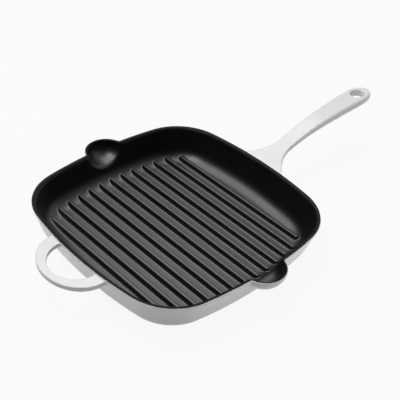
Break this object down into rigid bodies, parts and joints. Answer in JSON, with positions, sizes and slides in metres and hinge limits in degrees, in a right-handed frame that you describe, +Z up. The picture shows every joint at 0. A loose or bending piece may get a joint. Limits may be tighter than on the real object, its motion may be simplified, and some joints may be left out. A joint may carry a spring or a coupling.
{
  "type": "griddle pan",
  "caption": "Square enamelled cast-iron griddle pan with raised grill ribs, pouring spouts on two sides, an arched long handle with a hang hole, and a flat loop helper handle.",
  "frame": {"origin": "middle of the flat underside of the base, where the pan stands", "axes": "+X to the long handle's end, +Y across to a pouring spout, along the ribs, +Z up"},
  "size_m": [0.4632, 0.2836, 0.0674],
  "materials": {
    "white_enamel": "glossy white vitreous enamel over cast iron",
    "black_enamel": "satin black vitreous enamel over cast iron"
  },
  "bodies": {
    "root": {"pan_body": "white_enamel", "inner_enamel": "black_enamel", "rib_01": "black_enamel", "rib_02": "black_enamel", "rib_03": "black_enamel", "rib_04": "black_enamel", "rib_05": "black_enamel", "rib_06": "black_enamel", "rib_07": "black_enamel", "rib_08": "black_enamel", "rib_09": "black_enamel", "rib_10": "black_enamel", "rib_11": "black_enamel", "rib_12": "black_enamel", "rib_13": "black_enamel", "long_handle": "white_enamel", "loop_handle": "white_enamel"}
  },
  "joints": []
}
